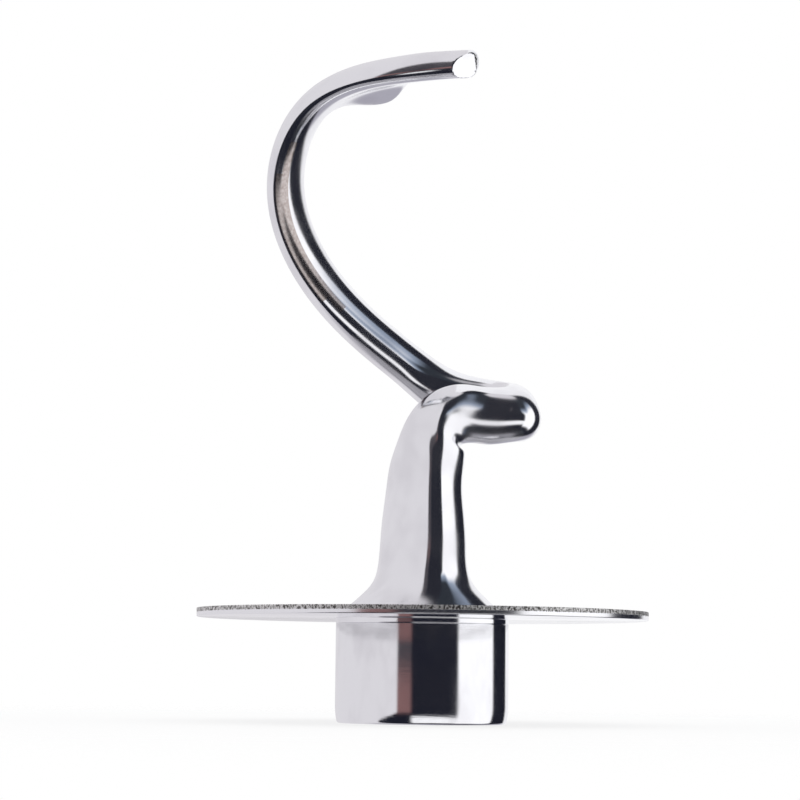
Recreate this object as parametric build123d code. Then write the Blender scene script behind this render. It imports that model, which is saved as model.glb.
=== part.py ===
from build123d import *
from collections import namedtuple
from math import cos, pi, radians, sin
import os

# Stand mixer dough hook, standing on its hub, in millimetres.
# The origin is on the hub's axis, in the plane of its open end face. +Z runs up the hub's axis
# to the hook, +X to the side that the elbow points to, and -Y is the side that the hook's tip
# comes forward to.

# Hub: the turned cylinder that the mixer's drive shaft goes into
hub_radius = 18.25
hub_length = 20.8
hub_roll_height = 3.7
hub_roll_depth = 0.35
hub_edge_radius = 0.4
seam_radius = 0.15

# Socket for the drive shaft, with a bayonet keyway for the shaft's cross pin
shaft_radius = 6.35
shaft_clearance = 0.06
socket_depth = 19.5
socket_lead_in = 0.6
pin_slot_width = 5.0
pin_slot_reach = 12.4
lock_floor = 8.0
lock_height = 5.2
lock_angle = 38.0

# Guard disc: stamped sheet, with a short collar drawn down round its hole
disc_radius = 47.625
disc_thickness = 1.8
disc_edge_radius = 0.22
collar_drop = 1.1
collar_wall = 1.4
seat_clearance = 0.02

# Foot: the cone that carries the neck, above the disc
foot_land = 0.6
foot_height = 9.4
foot_top_radius = 7.2
foot_fillet = 4.0

# Neck: an oval bar that rises from the foot, its near edge turned to the right
neck_half_width = 7.4
neck_half_depth = 12.0
neck_edge_turn = 27.0
neck_waist_height = 42.0
neck_slim_height = 50.0
neck_lean_height = 56.0
neck_offset = 0.05

# Elbow: out to the right, round to the back, and away to the left
elbow_reach = 24.7
elbow_height = 65.2
elbow_half_height = 6.2
elbow_half_depth = 6.0
elbow_front = 2.0
elbow_back = 13.0
elbow_rise = 3.4
elbow_nose = 2.6

# Hook: the open C, thinning from its root to its blunt tip
overall_height = 139.7
hook_reach = 33.65
root_left = 3.5
root_back = 12.0
root_height = 77.1
lower_left = 19.3
lower_back = 7.0
lower_height = 90.6
middle_height = 114.0
upper_left = 22.9
upper_forward = 9.8
upper_height = 131.1
crown_left = 9.4
crown_forward = 16.6
crown_drop = 0.8
hook_root_half_thickness = 4.1
hook_root_half_depth = 6.3
hook_middle_half_thickness = 3.3
hook_half_depth = 7.2
hook_turn = 5.0
tip_reach = 8.6
tip_forward = 22.5
tip_half_thickness = 2.75
tip_half_depth = 4.4
tip_edge_radius = 1.3
tip_taper = 0.2
crest_drop = 0.55

# Lobe: the wider stretch of the blade's far edge, just before the tip
lobe_start = 0.62
lobe_rise = 0.13
lobe_end = 0.79
lobe_fall = 0.17
lobe_droop = 5.8
lobe_reach = 2.6

socket_radius = shaft_radius + shaft_clearance
disc_underside = hub_length + collar_drop
disc_top = disc_underside + disc_thickness
spigot_radius = hub_radius - collar_wall
foot_radius = spigot_radius - foot_land
foot_top = disc_top + foot_height
section_points = 14
tip_steps = 5
hook_section_count = 21
hook_centre = (-4.0, -4.0, 110.0)

# A section of the bar: its centre, the side that the hook's inside is on, its half thickness
# that way, its reach from the centre to its near and far edges, how far it is turned about the
# route, how full its corners are, and how far its far edge droops inwards
Section = namedtuple("Section", "centre inward thick near far turn fullness droop")


def neck_sections():
    """The neck, from inside the foot to where it leans over into the elbow."""
    rows = [
        # centre, side, wider by, deeper by, turn
        ((-neck_offset, 0, disc_top), (-1, 0, 0), 1.75, 0.8, neck_edge_turn),
        ((-neck_offset, 0, foot_top), (-1, 0, 0), 1.1, 0.4, neck_edge_turn),
        ((-neck_offset, 0, neck_waist_height), (-1, 0, 0), 0.55, -0.1, neck_edge_turn),
        ((0, 0, neck_slim_height), (-1, 0, 0), -0.2, -1.0, neck_edge_turn),
        ((0.8, -0.3, neck_lean_height), (-1, 0, 0.2), -0.1, -2.1, neck_edge_turn - 3),
    ]
    return [
        Section(
            centre=centre,
            inward=side,
            thick=neck_half_width + wider,
            near=neck_half_depth + deeper,
            far=neck_half_depth + deeper,
            turn=turn,
            fullness=2.0,
            droop=0,
        )
        for centre, side, wider, deeper, turn in rows
    ]


def elbow_sections():
    """The elbow, round which the bar turns from the neck to the hook's root."""
    reach = elbow_reach - elbow_half_depth
    rows = [
        # centre, side, higher by, near deeper by, far deeper by, turn
        ((reach - 14.9, 0.4 - elbow_front, elbow_height - 2.6), (-0.8, 0, 0.6), 1.1, 2, 2, 14),
        ((reach - 7.7, -elbow_front, elbow_height), (-0.05, 0, 1), 0, 0, 0, 0),
        ((reach - 2.1, 0.8 - elbow_front, elbow_height + 0.2), (0, 0, 1), 0, -0.6, elbow_nose, 0),
        ((reach - 0.3, elbow_back - 7.8, elbow_height + 0.8), (0, 0, 1), 0, -0.2, -0.2, 0),
        ((reach - 1.7, elbow_back - 2.5, elbow_height + 2.0), (0.05, 0, 1), 0, 0, 0, 0),
        ((reach - 7.6, elbow_back, elbow_height + elbow_rise), (0.15, 0, 1), 0, 0, 0, 0),
    ]
    return [
        Section(
            centre=centre,
            inward=side,
            thick=elbow_half_height + higher,
            near=elbow_half_depth + nearer,
            far=elbow_half_depth + further,
            turn=turn,
            fullness=2.15,
            droop=0,
        )
        for centre, side, higher, nearer, further, turn in rows
    ]


def hook_route():
    """The line through the middle of the C: behind the neck, up the left side and over the top."""
    left = -(hook_reach - hook_middle_half_thickness)
    top = overall_height - tip_half_thickness - crest_drop
    return Spline(
        (-root_left, root_back, root_height),
        (-lower_left, lower_back, lower_height),
        (left, 0, middle_height),
        (-upper_left, -upper_forward, upper_height),
        (-crown_left, -crown_forward, top - crown_drop),
        (tip_reach, -tip_forward, top - 0.1),
    )


def between(start, end, share):
    """A size part of the way from start to end, easing out of one and into the other."""
    share = min(1, max(0, share))
    return start + (end - start) * share * share * (3 - 2 * share)


def hook_section(route, place):
    """The hook's section at a place on its route, from 0 at the root to 1 at the tip."""
    from_root = place / 0.5
    to_tip = (place - (1 - tip_taper)) / tip_taper
    rise = between(0, 1, (place - lobe_start) / lobe_rise)
    lobe = rise * between(1, 0, (place - lobe_end) / lobe_fall)
    if place < 0.5:
        thick = between(hook_root_half_thickness, hook_middle_half_thickness, from_root)
    else:
        thick = between(hook_middle_half_thickness, tip_half_thickness, (place - 0.5) / 0.5)
    deep = between(hook_root_half_depth, hook_half_depth, from_root)
    deep = between(deep, tip_half_depth, to_tip)
    return Section(
        centre=route @ place,
        inward=Vector(*hook_centre) - route @ place,
        thick=thick,
        near=deep,
        far=deep + lobe_reach * lobe,
        turn=-hook_turn * between(1, 0, to_tip),
        fullness=2.3,
        droop=lobe_droop * lobe,
    )


def hook_sections():
    route = hook_route()
    return [hook_section(route, step / (hook_section_count - 1)) for step in range(hook_section_count)]


def signed_power(value, exponent):
    return abs(value) ** exponent if value >= 0 else -(abs(value) ** exponent)


def section_outline(section):
    """Points of an oval whose far edge may droop, in the section's own plane."""
    exponent = 2 / section.fullness
    turn = radians(section.turn)
    outline = []
    for step in range(section_points):
        angle = 2 * pi * (step + 0.5) / section_points
        inner = section.thick * signed_power(cos(angle), exponent)
        side = signed_power(sin(angle), exponent)
        depth = side * (section.far if side > 0 else section.near)
        inner += section.droop * max(0, side) ** 2
        outline.append((inner * cos(turn) - depth * sin(turn), inner * sin(turn) + depth * cos(turn)))
    return outline


def section_face(section, before, after):
    """The section's face, square to the line from the section before it to the one after it."""
    tangent = (Vector(*after.centre) - Vector(*before.centre)).normalized()
    inward = Vector(*section.inward)
    across = (inward - tangent * inward.dot(tangent)).normalized()
    plane = Plane(origin=section.centre, x_dir=across, z_dir=tangent)
    points = [Vector(x, y) for x, y in section_outline(section)]
    steps = [step / section_points for step in range(section_points + 1)]
    return plane * make_face(Edge.make_spline(points, periodic=True, parameters=steps))


def hook_body():
    """The neck, elbow and hook as one bar, lofted through all their sections."""
    sections = neck_sections() + elbow_sections() + hook_sections()
    faces = []
    for index, section in enumerate(sections):
        before = sections[max(index - 1, 0)]
        after = sections[min(index + 1, len(sections) - 1)]
        faces.append(section_face(section, before, after))
    return loft(faces) + rounded_tip(sections[-2], sections[-1])


def rounded_tip(before, end):
    """The blunt end past the last section, with its edge rounded by a quarter circle."""
    forward = (Vector(*end.centre) - Vector(*before.centre)).normalized()
    faces = []
    for step in range(tip_steps + 1):
        angle = pi / 2 * step / tip_steps
        inset = tip_edge_radius * (1 - cos(angle))
        centre = Vector(*end.centre) + forward * tip_edge_radius * sin(angle)
        smaller = end._replace(
            centre=centre, thick=end.thick - inset, near=end.near - inset, far=end.far - inset
        )
        faces.append(section_face(smaller, before, smaller))
    return loft(faces)


def hub_and_foot():
    """The turned hub, the spigot that the disc sits on, and the foot's cone, as one revolved profile."""
    roll_start = (hub_radius, hub_roll_height)
    roll_end = (hub_radius - hub_roll_depth, hub_edge_radius)
    roll = TangentArc(roll_start, roll_end, tangent=(0, -1))
    edge = TangentArc(roll_end, (roll_end[0] - hub_edge_radius, 0), tangent=roll % 1)
    outline = Polyline(
        edge @ 1,
        (0, 0),
        (0, foot_top),
        (foot_top_radius, foot_top),
        (foot_radius, disc_top),
        (spigot_radius, disc_top),
        (spigot_radius, hub_length),
        (hub_radius - seam_radius, hub_length),
        (hub_radius, hub_length - seam_radius),
        roll_start,
    )
    profile = make_face([roll, edge, outline])
    return revolve(Plane.XZ * profile, Axis.Z)


def socket():
    """The blind socket with its keyway, and the lateral pocket that the cross pin turns into."""
    bore = Cylinder(socket_radius, socket_depth, align=(Align.CENTER, Align.CENTER, Align.MIN))
    lead_in = Cone(
        socket_radius + socket_lead_in,
        socket_radius,
        socket_lead_in,
        align=(Align.CENTER, Align.CENTER, Align.MIN),
    )
    slot_height = lock_floor + lock_height
    slot = Box(pin_slot_reach, pin_slot_width, slot_height, align=(Align.MIN, Align.CENTER, Align.MIN))
    slot_end = Cylinder(pin_slot_reach, slot_height, align=(Align.CENTER, Align.CENTER, Align.MIN))
    slot = slot & slot_end
    pocket = Cylinder(
        pin_slot_reach, lock_height, arc_size=lock_angle, align=(Align.NONE, Align.NONE, Align.MIN)
    )
    pocket = Pos(0, 0, lock_floor) * pocket
    return bore + lead_in + slot + pocket


def hook_casting():
    body = hub_and_foot() + hook_body()
    joint = [
        edge
        for edge in body.edges()
        if disc_top < edge.center().Z < foot_top and edge.geom_type == GeomType.BSPLINE
    ]
    return fillet(joint, foot_fillet) - socket()


def guard_disc():
    """The stamped disc, with the collar that grips the hub's spigot and stops on its shoulder."""
    hole_radius = spigot_radius + seat_clearance
    profile = Polyline(
        (hole_radius, hub_length),
        (hub_radius - seam_radius, hub_length),
        (hub_radius, hub_length + seam_radius),
        (hub_radius, disc_underside),
        (disc_radius, disc_underside),
        (disc_radius, disc_top),
        (hole_radius, disc_top),
        close=True,
    )
    profile = make_face(profile)
    lower_edge = max(profile.vertices(), key=lambda corner: corner.X - corner.Y)
    profile = fillet(lower_edge, disc_edge_radius)
    return revolve(Plane.XZ * profile, Axis.Z)


def main():
    os.makedirs("parts", exist_ok=True)
    export_step(hook_casting(), "parts/hook_casting.step")
    export_step(guard_disc(), "parts/guard_disc.step")


main()
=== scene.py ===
from collections import namedtuple
from math import atan, cos, degrees, pi, radians, sin

import bmesh
import bpy
import numpy as np
from mathutils import Matrix, Vector


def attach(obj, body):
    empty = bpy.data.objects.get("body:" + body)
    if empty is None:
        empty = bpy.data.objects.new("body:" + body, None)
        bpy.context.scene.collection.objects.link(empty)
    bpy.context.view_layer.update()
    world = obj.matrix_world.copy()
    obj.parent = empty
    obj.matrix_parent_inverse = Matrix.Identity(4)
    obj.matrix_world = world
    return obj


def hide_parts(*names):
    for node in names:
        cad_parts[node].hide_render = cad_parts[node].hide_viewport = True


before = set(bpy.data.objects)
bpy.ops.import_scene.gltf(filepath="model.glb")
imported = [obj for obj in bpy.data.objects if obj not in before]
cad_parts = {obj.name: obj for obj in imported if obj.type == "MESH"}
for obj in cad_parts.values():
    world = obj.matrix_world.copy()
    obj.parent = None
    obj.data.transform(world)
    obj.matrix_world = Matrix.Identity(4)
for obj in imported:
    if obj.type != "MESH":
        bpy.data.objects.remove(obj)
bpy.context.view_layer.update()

bl_info = {
    "name": "Dough Hook",
    "version": (1, 0, 0),
    "blender": (4, 5, 0),
    "location": "View3D > Sidebar > Dough Hook",
    "description": "Models and dresses a polished stand mixer dough hook with its guard disc",
    "category": "Add Mesh",
}

MM = 0.001
RING_POINTS = 16
# Subdivision draws a ring of points in towards its centre by this much
RING_SWELL = 3 / (2 + cos(2 * pi / RING_POINTS))
HUB_STEPS = 192
DISC_STEPS = 256
POCKET_STEPS = 12
SMOOTH_ANGLE = radians(35)
MERGE_DISTANCE = 0.001 * MM

# A ring's points, counted round from its far or ridge point
RIDGE_POINT = 0
RIDGE_POINTS = (15, 0, 1)
CORNER_POINTS = (2, 6, 10, 14)
FLANK_POINTS = (14, 15)
UNDER_POINTS = (4, 5)

# The strip where the parting line was ground off: its points, how far out it starts and the heights of its
# ends, and the points and heights of its wider middle
GROUND_POINTS = {9, 10}
GROUND_WIDE_POINTS = {8, 9, 10}
GROUND_REACH = 14 * MM
GROUND_HEIGHTS = (88 * MM, 124 * MM)
GROUND_WIDE_HEIGHTS = (92 * MM, 118 * MM)

# The camera: its place, how far it looks up and to the left, how far it leans, and its lens
CAMERA_PLACE = (0, -0.56, 0.01)
CAMERA_UP = radians(5.9545)
CAMERA_LEFT = radians(0.5359)
CAMERA_LEAN = radians(0.6207)
FOCAL_PIXELS = 2640.9
IMAGE_PIXELS = 800
SENSOR_WIDTH = 36

# Where one part of the studio gives way to the next, in degrees round to the right from the camera's side
WALL_TO_WOOD = (-34, -31)
WOOD_TO_FRONT = (-17, -11)
FRONT_TO_LAMP = (47, 51)
LAMP_TO_ROOM = (107, 111)
ROOM_TO_BACK = (145, 149)


# Sizes and colours that a user would change

class HubSizes(bpy.types.PropertyGroup):
    """The turned hub and the socket for the drive shaft."""
    radius: bpy.props.FloatProperty(
        name="Radius", description="Outer radius of the hub", default=18.25 * MM, unit="LENGTH"
    )
    length: bpy.props.FloatProperty(
        name="Length", description="From the end face to the disc's collar", default=20.8 * MM, unit="LENGTH"
    )
    roll_height: bpy.props.FloatProperty(
        name="Roll Height", description="Height at which the wall starts to roll in",
        default=3.7 * MM, unit="LENGTH",
    )
    roll_depth: bpy.props.FloatProperty(
        name="Roll Depth", description="How far the wall rolls in", default=0.35 * MM, unit="LENGTH"
    )
    edge_radius: bpy.props.FloatProperty(
        name="Edge Radius", description="Radius of the end face's edge", default=0.4 * MM, unit="LENGTH"
    )
    seam_radius: bpy.props.FloatProperty(
        name="Seam Radius", description="Rounding of the edges that meet at the seam",
        default=0.15 * MM, unit="LENGTH",
    )
    spigot_radius: bpy.props.FloatProperty(
        name="Spigot Radius", description="Radius of the spigot in the disc's hole",
        default=16.85 * MM, unit="LENGTH",
    )
    spigot_sink: bpy.props.FloatProperty(
        name="Spigot Sink", description="How far the spigot's top lies below the disc's upper face",
        default=0.02 * MM, unit="LENGTH",
    )
    socket_radius: bpy.props.FloatProperty(
        name="Socket Radius", description="Radius of the socket's wall", default=6.41 * MM, unit="LENGTH"
    )
    socket_depth: bpy.props.FloatProperty(
        name="Socket Depth", description="From the end face to the socket's floor",
        default=19.5 * MM, unit="LENGTH",
    )
    socket_lead_in: bpy.props.FloatProperty(
        name="Lead-in", description="Chamfer round the socket's mouth", default=0.6 * MM, unit="LENGTH"
    )
    slot_width: bpy.props.FloatProperty(
        name="Keyway Width", description="Width of the keyway for the cross pin",
        default=5.0 * MM, unit="LENGTH",
    )
    slot_reach: bpy.props.FloatProperty(
        name="Keyway Reach", description="From the axis to the keyway's far wall",
        default=12.4 * MM, unit="LENGTH",
    )
    lock_floor: bpy.props.FloatProperty(
        name="Pocket Floor", description="Height of the floor of the pin's pocket",
        default=8.0 * MM, unit="LENGTH",
    )
    lock_height: bpy.props.FloatProperty(
        name="Pocket Height", description="Height of the pin's pocket", default=5.2 * MM, unit="LENGTH"
    )
    lock_angle: bpy.props.FloatProperty(
        name="Pocket Angle", description="How far round the pocket runs",
        default=radians(38), subtype="ANGLE",
    )


class DiscSizes(bpy.types.PropertyGroup):
    """The stamped guard disc."""
    radius: bpy.props.FloatProperty(
        name="Radius", description="Outer radius of the disc", default=47.625 * MM, unit="LENGTH"
    )
    thickness: bpy.props.FloatProperty(
        name="Thickness", description="Thickness of the sheet", default=1.8 * MM, unit="LENGTH"
    )
    collar_drop: bpy.props.FloatProperty(
        name="Collar Drop", description="How far the collar stands below the sheet",
        default=1.1 * MM, unit="LENGTH",
    )
    seat_clearance: bpy.props.FloatProperty(
        name="Seat Clearance", description="Gap between the hole and the spigot",
        default=0.02 * MM, unit="LENGTH",
    )
    rolled_edge: bpy.props.FloatProperty(
        name="Rolled Edge", description="Rounding on the side where the punch went in",
        default=0.22 * MM, unit="LENGTH",
    )
    edge_break: bpy.props.FloatProperty(
        name="Edge Break", description="Size of the break at the rim's sharp upper edge",
        default=0.06 * MM, unit="LENGTH",
    )
    sheared_share: bpy.props.FloatProperty(
        name="Sheared Share", description="Part of the rim's height that is torn and rough",
        default=0.45, subtype="FACTOR",
    )


class BarSizes(bpy.types.PropertyGroup):
    """The neck, elbow and hook."""
    neck_half_width: bpy.props.FloatProperty(
        name="Neck Half Width", description="Half of the neck's narrow way", default=7.4 * MM, unit="LENGTH"
    )
    neck_half_depth: bpy.props.FloatProperty(
        name="Neck Half Depth", description="Half of the neck's wide way", default=12.0 * MM, unit="LENGTH"
    )
    neck_turn: bpy.props.FloatProperty(
        name="Neck Turn", description="How far the neck's near edge is turned to the right",
        default=radians(27), subtype="ANGLE",
    )
    elbow_half_height: bpy.props.FloatProperty(
        name="Elbow Half Height", description="Half of the elbow's upright size",
        default=6.2 * MM, unit="LENGTH",
    )
    elbow_half_depth: bpy.props.FloatProperty(
        name="Elbow Half Depth", description="Half of the elbow's level size",
        default=6.0 * MM, unit="LENGTH",
    )
    height: bpy.props.FloatProperty(
        name="Height", description="Overall height of the part", default=139.7 * MM, unit="LENGTH"
    )
    hook_reach: bpy.props.FloatProperty(
        name="Hook Reach", description="From the axis to the hook's far side",
        default=33.65 * MM, unit="LENGTH",
    )
    root_half_thickness: bpy.props.FloatProperty(
        name="Root Half Thickness", description="Half thickness of the hook at its root",
        default=4.1 * MM, unit="LENGTH",
    )
    root_half_depth: bpy.props.FloatProperty(
        name="Root Half Depth", description="Half depth of the hook at its root",
        default=6.3 * MM, unit="LENGTH",
    )
    half_thickness: bpy.props.FloatProperty(
        name="Half Thickness", description="Half thickness of the hook halfway along",
        default=3.3 * MM, unit="LENGTH",
    )
    half_depth: bpy.props.FloatProperty(
        name="Half Depth", description="Half depth of the hook halfway along",
        default=7.2 * MM, unit="LENGTH",
    )
    hook_turn: bpy.props.FloatProperty(
        name="Hook Turn", description="How far the hook's section is turned about its route",
        default=radians(5), subtype="ANGLE",
    )
    tip_reach: bpy.props.FloatProperty(
        name="Tip Reach", description="From the axis to the end of the hook's route",
        default=8.6 * MM, unit="LENGTH",
    )
    tip_forward: bpy.props.FloatProperty(
        name="Tip Forward", description="How far the tip comes forward of the axis",
        default=22.5 * MM, unit="LENGTH",
    )
    tip_half_thickness: bpy.props.FloatProperty(
        name="Tip Half Thickness", description="Half thickness of the tip", default=2.75 * MM, unit="LENGTH"
    )
    tip_half_depth: bpy.props.FloatProperty(
        name="Tip Half Depth", description="Half depth of the tip", default=4.4 * MM, unit="LENGTH"
    )
    tip_edge_radius: bpy.props.FloatProperty(
        name="Tip Edge Radius", description="Rounding of the blunt tip's edge",
        default=1.3 * MM, unit="LENGTH",
    )
    tip_cut: bpy.props.FloatProperty(
        name="Tip Cut",
        description="Which way the tip's slanting end faces, from straight ahead to the right",
        default=radians(70), subtype="ANGLE",
    )
    tip_flat_turn: bpy.props.FloatProperty(
        name="Tip Flat Turn",
        description="Which way the flat on the tip's near corner faces, from straight ahead to the right",
        default=radians(37), subtype="ANGLE",
    )
    tip_flat_tilt: bpy.props.FloatProperty(
        name="Tip Flat Tilt", description="How far that flat faces upwards",
        default=radians(-19), subtype="ANGLE",
    )
    tip_flat_height: bpy.props.FloatProperty(
        name="Tip Flat Height", description="Height of the flat's middle above the tip's middle",
        default=-0.5 * MM, unit="LENGTH",
    )
    tip_flat_depth: bpy.props.FloatProperty(
        name="Tip Flat Depth", description="How far past the end of the route the flat's middle lies",
        default=1.04 * MM, unit="LENGTH",
    )
    tip_rounding: bpy.props.FloatProperty(
        name="Tip Rounding", description="Rounding of the edges round the tip's flats",
        default=0.14 * MM, unit="LENGTH",
    )
    tip_taper: bpy.props.FloatProperty(
        name="Tip Taper", description="Part of the hook's length over which it narrows to the tip",
        default=0.2, subtype="FACTOR",
    )
    crest_drop: bpy.props.FloatProperty(
        name="Crest Drop", description="How far the route's end is below the crest",
        default=0.55 * MM, unit="LENGTH",
    )
    hook_fullness: bpy.props.FloatProperty(
        name="Hook Fullness", description="How far the corners of the hook's section are filled out",
        default=1.04,
    )
    lobe_start: bpy.props.FloatProperty(
        name="Lobe Start", description="Where on the hook's route the lobe starts",
        default=0.62, subtype="FACTOR",
    )
    lobe_rise: bpy.props.FloatProperty(
        name="Lobe Rise", description="Part of the route over which the lobe comes up",
        default=0.13, subtype="FACTOR",
    )
    lobe_end: bpy.props.FloatProperty(
        name="Lobe End", description="Where on the hook's route the lobe starts to go down",
        default=0.78, subtype="FACTOR",
    )
    lobe_fall: bpy.props.FloatProperty(
        name="Lobe Fall", description="Part of the route over which the lobe goes down",
        default=0.12, subtype="FACTOR",
    )
    lobe_reach: bpy.props.FloatProperty(
        name="Lobe Reach", description="How far the lobe widens the far edge",
        default=2.6 * MM, unit="LENGTH",
    )
    lobe_droop: bpy.props.FloatProperty(
        name="Lobe Droop", description="How far the lobe's edge hangs inwards",
        default=7.0 * MM, unit="LENGTH",
    )
    dent: bpy.props.FloatVectorProperty(
        name="Dent", description="Place of the small dent in the elbow's front",
        default=(17.6 * MM, -5.9 * MM, 66.0 * MM), unit="LENGTH", subtype="TRANSLATION", size=3,
    )
    dent_radius: bpy.props.FloatProperty(
        name="Dent Radius", description="Radius of the dent", default=1.3 * MM, unit="LENGTH"
    )
    dent_floor: bpy.props.FloatProperty(
        name="Dent Floor", description="Radius of the dent's flat middle", default=0.4 * MM, unit="LENGTH"
    )
    ring_gap: bpy.props.FloatProperty(
        name="Ring Gap", description="Distance between the rings that the bar is bridged from",
        default=2.0 * MM, unit="LENGTH",
    )
    ridge_lean: bpy.props.FloatProperty(
        name="Ridge Lean", description="How far the neck's near edge is set over to the left",
        default=1.5 * MM, unit="LENGTH",
    )
    ridge: bpy.props.FloatProperty(
        name="Ridge", description="How sharp the neck's near edge is", default=0.36, subtype="FACTOR"
    )
    ridge_share: bpy.props.FloatProperty(
        name="Ridge Share", description="Part of the bar, from the neck, over which the near edge is sharp",
        default=0.22, subtype="FACTOR",
    )
    smoothing: bpy.props.IntProperty(
        name="Smoothing", description="Times that the bar is subdivided", default=2, min=0, max=3
    )


class Finishes(bpy.types.PropertyGroup):
    """Colours of the steel."""
    steel: bpy.props.FloatVectorProperty(
        name="Steel", description="Colour of the polished steel",
        default=(0.92, 0.92, 0.94), subtype="COLOR", size=3,
    )
    steel_dull: bpy.props.FloatVectorProperty(
        name="Dull Steel", description="Colour where the polish is thinner",
        default=(0.84, 0.835, 0.86), subtype="COLOR", size=3,
    )
    # The ground strip's two colours are tinted brown as a painted reflection
    ground: bpy.props.FloatVectorProperty(
        name="Ground Steel With Painted Reflection", description="Colour of the ground strip",
        default=(0.60, 0.55, 0.53), subtype="COLOR", size=3,
    )
    ground_specks_and_brown_reflection: bpy.props.FloatVectorProperty(
        name="Ground Specks With Painted Reflection", description="Colour of the specks in the ground strip",
        default=(0.42, 0.36, 0.34), subtype="COLOR", size=3,
    )
    # The disc's upper face is darkened as painted shade; its clouds add a random tone on top
    shaded_satin: bpy.props.FloatVectorProperty(
        name="Shaded Satin Steel", description="Colour of the disc's upper face",
        default=(0.50, 0.50, 0.52), subtype="COLOR", size=3,
    )
    shaded_satin_clouds: bpy.props.FloatVectorProperty(
        name="Shaded Satin Clouds", description="Colour of the clouds in the disc's upper face",
        default=(0.42, 0.42, 0.44), subtype="COLOR", size=3,
    )
    torn: bpy.props.FloatVectorProperty(
        name="Torn Steel", description="Colour of the sheared rim's torn part",
        default=(0.80, 0.79, 0.78), subtype="COLOR", size=3,
    )
    # The dark colour of the torn band's pitting is painted shade
    torn_pit_shade: bpy.props.FloatVectorProperty(
        name="Torn Pit Shade", description="Colour of the pits in the torn part",
        default=(0.10, 0.095, 0.09), subtype="COLOR", size=3,
    )


class StudioColours(bpy.types.PropertyGroup):
    """Colours of the studio, most of them seen only in the steel."""
    floor: bpy.props.FloatVectorProperty(
        name="Floor", description="Colour of the floor", default=(0.93, 0.93, 0.94), subtype="COLOR", size=3
    )
    wall: bpy.props.FloatVectorProperty(
        name="Studio Wall", description="Colour of the pale cloth round the part",
        default=(0.74, 0.725, 0.755), subtype="COLOR", size=3,
    )
    wall_foot: bpy.props.FloatVectorProperty(
        name="Wall Foot", description="Colour of the cloth near the floor",
        default=(0.45, 0.44, 0.48), subtype="COLOR", size=3,
    )
    room: bpy.props.FloatVectorProperty(
        name="Dark Room", description="Colour of the unlit room behind the camera",
        default=(0.012, 0.013, 0.022), subtype="COLOR", size=3,
    )
    wood: bpy.props.FloatVectorProperty(
        name="Brown Furniture", description="Colour of the brown furniture beside the camera",
        default=(0.22, 0.12, 0.12), subtype="COLOR", size=3,
    )
    above_wood: bpy.props.FloatVectorProperty(
        name="Above Furniture", description="Colour of the wall above the furniture",
        default=(0.06, 0.055, 0.065), subtype="COLOR", size=3,
    )
    table: bpy.props.FloatVectorProperty(
        name="Table", description="Colour of the white table under the camera",
        default=(1.0, 1.0, 1.02), subtype="COLOR", size=3,
    )
    lamp: bpy.props.FloatVectorProperty(
        name="Lamp", description="Colour of the softbox to the right",
        default=(1.1, 1.1, 1.12), subtype="COLOR", size=3,
    )
    lamp_rim: bpy.props.FloatVectorProperty(
        name="Lamp Rim", description="Colour of the blue glow at the softbox's top",
        default=(0.30, 0.36, 0.47), subtype="COLOR", size=3,
    )
    above_lamp: bpy.props.FloatVectorProperty(
        name="Above Lamp", description="Colour of the room above the softbox",
        default=(0.02, 0.025, 0.035), subtype="COLOR", size=3,
    )
    back: bpy.props.FloatVectorProperty(
        name="Backdrop", description="Colour of the backdrop behind the part",
        default=(0.95, 0.95, 0.97), subtype="COLOR", size=3,
    )
    back_low: bpy.props.FloatVectorProperty(
        name="Low Backdrop", description="Colour of the backdrop near the floor",
        default=(0.42, 0.41, 0.47), subtype="COLOR", size=3,
    )
    ceiling: bpy.props.FloatVectorProperty(
        name="Ceiling", description="Colour straight above the part",
        default=(0.74, 0.725, 0.755), subtype="COLOR", size=3,
    )


# Shader maths

class Socket:
    """A node's output, with Python operators that add the Math nodes for them."""

    def __init__(self, nodes, output):
        self.nodes = nodes
        self.output = output

    def joined(self, operation, other, flipped=False):
        pair = (other, self) if flipped else (self, other)
        return self.nodes.add("ShaderNodeMath", {"operation": operation}, {0: pair[0], 1: pair[1]})

    def __add__(self, other):
        return self.joined("ADD", other)

    def __radd__(self, other):
        return self.joined("ADD", other, True)

    def __sub__(self, other):
        return self.joined("SUBTRACT", other)

    def __rsub__(self, other):
        return self.joined("SUBTRACT", other, True)

    def __mul__(self, other):
        return self.joined("MULTIPLY", other)

    def __rmul__(self, other):
        return self.joined("MULTIPLY", other, True)

    def __truediv__(self, other):
        return self.joined("DIVIDE", other)


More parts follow.
